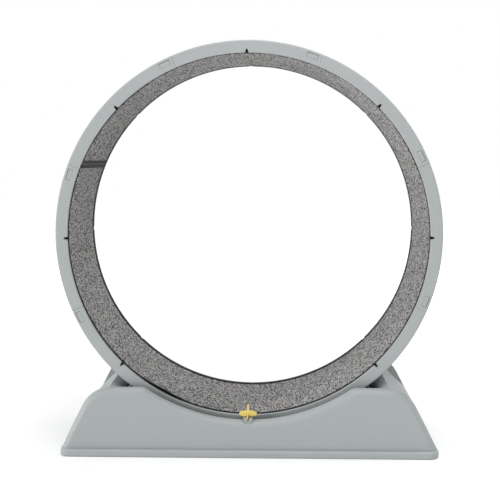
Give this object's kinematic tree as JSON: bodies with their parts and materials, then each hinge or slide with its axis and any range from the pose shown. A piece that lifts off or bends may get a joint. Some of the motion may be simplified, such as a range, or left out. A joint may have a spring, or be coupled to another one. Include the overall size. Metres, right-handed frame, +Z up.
{
  "type": "cat exercise wheel",
  "caption": "Open running wheel for a cat: a segmented rim with a carpet mat turns on rollers hidden in a low hollow base, and a sliding key locks it.",
  "frame": {"origin": "middle of the base's footprint, on the floor", "axes": "+X along the base to the right, +Y from the front (the lock's side) to the back, along the wheel's axis, +Z up"},
  "size_m": [0.9, 0.374, 0.961],
  "materials": {
    "wheel_plastic": "cool light grey moulded plastic, satin",
    "base_plastic": "cool light grey moulded plastic, satin",
    "mat_pile": "mottled grey loop pile carpet",
    "mat_backing": "black felt backing",
    "seam_tape": "dark woven edge tape",
    "cover_plastic": "dark grey moulded plastic",
    "cradle_plastic": "dark grey moulded plastic",
    "hub_plastic": "pale grey moulded plastic",
    "tyre_rubber": "dark soft polyurethane",
    "pad_rubber": "black foam rubber",
    "steel": "zinc-plated steel",
    "key_plastic": "yellow moulded plastic"
  },
  "bodies": {
    "base": {"base_shell": "base_plastic", "bottom_cover": "cover_plastic", "cover_screws": "steel", "cradle_screws": "steel", "floor_pads": "pad_rubber", "cradle_left": "cradle_plastic", "cradle_right": "cradle_plastic", "axle_left": "steel", "axle_right": "steel", "axle_clips": "steel", "axle_spacers": "cradle_plastic"},
    "wheel": {"wheel_segment_1": "wheel_plastic", "wheel_segment_2": "wheel_plastic", "wheel_segment_3": "wheel_plastic", "wheel_segment_4": "wheel_plastic", "wheel_segment_5": "wheel_plastic", "wheel_segment_6": "wheel_plastic", "wheel_segment_7": "wheel_plastic", "wheel_segment_8": "wheel_plastic", "mat_backing": "mat_backing", "running_mat": "mat_pile", "mat_seam_tapes": "seam_tape"},
    "lock": {"lock_key": "key_plastic"},
    "roller_front_left": {"roller_hub_front_left": "hub_plastic", "roller_tyre_front_left": "tyre_rubber", "roller_bearings_front_left": "steel"},
    "roller_back_left": {"roller_hub_back_left": "hub_plastic", "roller_tyre_back_left": "tyre_rubber", "roller_bearings_back_left": "steel"},
    "roller_front_right": {"roller_hub_front_right": "hub_plastic", "roller_tyre_front_right": "tyre_rubber", "roller_bearings_front_right": "steel"},
    "roller_back_right": {"roller_hub_back_right": "hub_plastic", "roller_tyre_back_right": "tyre_rubber", "roller_bearings_back_right": "steel"}
  },
  "joints": [
    {"name": "wheel_spin", "type": "hinge", "parent": "base", "child": "wheel", "pos_m": [0, 0, 0.511], "axis": [0, 1, 0], "continuous": true},
    {"name": "roller_spin_front_left", "type": "hinge", "parent": "base", "child": "roller_front_left", "pos_m": [-0.26939, -0.095, 0.14023], "axis": [0, 1, 0], "continuous": true},
    {"name": "roller_spin_back_left", "type": "hinge", "parent": "base", "child": "roller_back_left", "pos_m": [-0.26939, 0.095, 0.14023], "axis": [0, 1, 0], "continuous": true},
    {"name": "roller_spin_front_right", "type": "hinge", "parent": "base", "child": "roller_front_right", "pos_m": [0.26939, -0.095, 0.14023], "axis": [0, 1, 0], "continuous": true},
    {"name": "roller_spin_back_right", "type": "hinge", "parent": "base", "child": "roller_back_right", "pos_m": [0.26939, 0.095, 0.14023], "axis": [0, 1, 0], "continuous": true},
    {"name": "lock_slide", "type": "slide", "parent": "base", "child": "lock", "axis": [0, 1, 0], "range_m": [0, 0.0065]}
  ],
  "couplings": [
    {"joint": "roller_spin_front_left", "follows": "wheel_spin", "ratio": -15.357},
    {"joint": "roller_spin_back_left", "follows": "wheel_spin", "ratio": -15.357},
    {"joint": "roller_spin_front_right", "follows": "wheel_spin", "ratio": -15.357},
    {"joint": "roller_spin_back_right", "follows": "wheel_spin", "ratio": -15.357}
  ]
}
